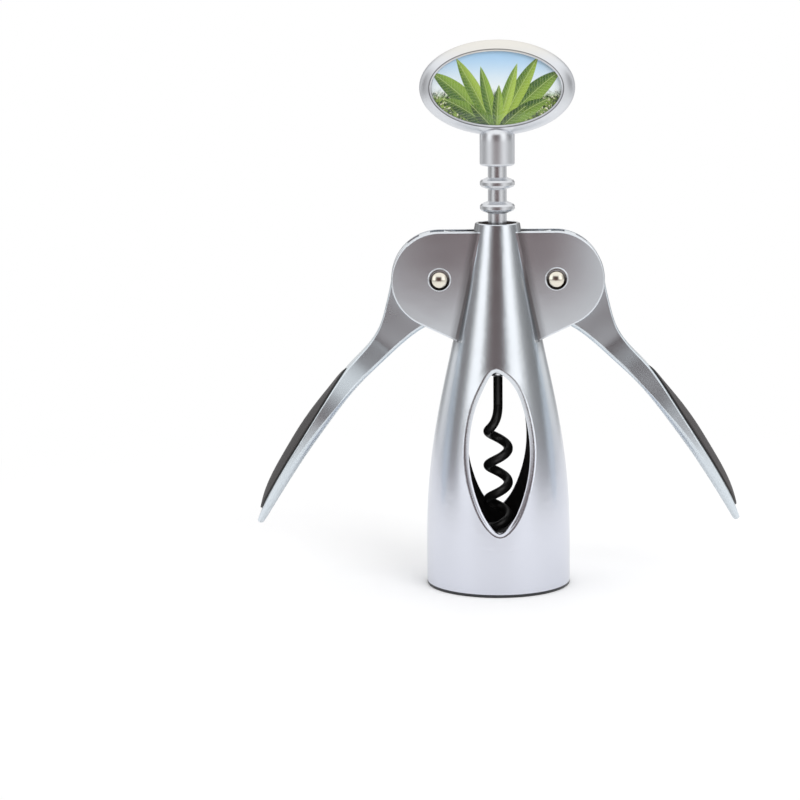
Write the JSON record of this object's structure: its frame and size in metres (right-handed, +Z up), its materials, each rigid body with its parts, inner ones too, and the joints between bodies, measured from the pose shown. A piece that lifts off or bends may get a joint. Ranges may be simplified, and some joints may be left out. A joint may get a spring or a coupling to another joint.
{
  "type": "wing corkscrew",
  "caption": "Wing corkscrew with a bell body, geared lever arms with grip pads, a ringed rack, a coated worm and an oval handle with a domed picture.",
  "frame": {"origin": "centre of the ring that the bell stands on, at its underside", "axes": "+Z up along the spindle, +X towards the right lever, -Y towards the picture's side"},
  "size_m": [0.1418, 0.042, 0.1589],
  "materials": {
    "cast_nickel": "satin nickel plate on a zinc casting",
    "handle_nickel": "pearl satin nickel plate on a zinc casting",
    "lever_nickel": "satin nickel plate on a zinc casting",
    "rack_nickel": "smooth satin nickel plate on turned steel",
    "pin_nickel": "polished nickel",
    "washer_steel": "plain steel",
    "liner_black": "semi-matt moulded plastic",
    "pad_rubber": "soft-touch matt rubber",
    "worm_black": "black non-stick coating on steel wire",
    "picture_print": "printed disc",
    "clear_resin": "clear domed resin"
  },
  "bodies": {
    "frame": {"bell_body": "cast_nickel", "mouth_liner": "liner_black", "left_pivot_pin": "pin_nickel", "right_pivot_pin": "pin_nickel", "left_front_washer": "washer_steel", "left_rear_washer": "washer_steel", "right_front_washer": "washer_steel", "right_rear_washer": "washer_steel"},
    "left_lever": {"left_lever": "lever_nickel", "left_grip_pad": "pad_rubber"},
    "right_lever": {"right_lever": "lever_nickel", "right_grip_pad": "pad_rubber"},
    "rack": {"rack_sleeve": "rack_nickel"},
    "spindle": {"worm": "worm_black", "rack_foot_ring": "washer_steel", "rack_thrust_washer": "washer_steel", "handle_frame": "handle_nickel", "picture_disc": "picture_print", "clear_dome": "clear_resin"}
  },
  "joints": [
    {"name": "left_lever_hinge", "type": "hinge", "parent": "frame", "child": "left_lever", "pos_m": [-0.0169, 0, 0.0902], "axis": [0, 1, 0], "range_deg": [-30, 105]},
    {"name": "right_lever_hinge", "type": "hinge", "parent": "frame", "child": "right_lever", "pos_m": [0.0169, 0, 0.0902], "axis": [0, -1, 0], "range_deg": [-30.3, 105.3]},
    {"name": "rack_slide", "type": "slide", "parent": "frame", "child": "rack", "axis": [0, 0, 1], "range_m": [-0.02362, 0.0068]},
    {"name": "spindle_turn", "type": "hinge", "parent": "rack", "child": "spindle", "pos_m": [0, 0, 0.1234], "axis": [0, 0, 1], "continuous": true}
  ],
  "couplings": [
    {"joint": "right_lever_hinge", "follows": "left_lever_hinge", "ratio": 1},
    {"joint": "rack_slide", "follows": "left_lever_hinge", "m_per_rad": -0.01285}
  ]
}
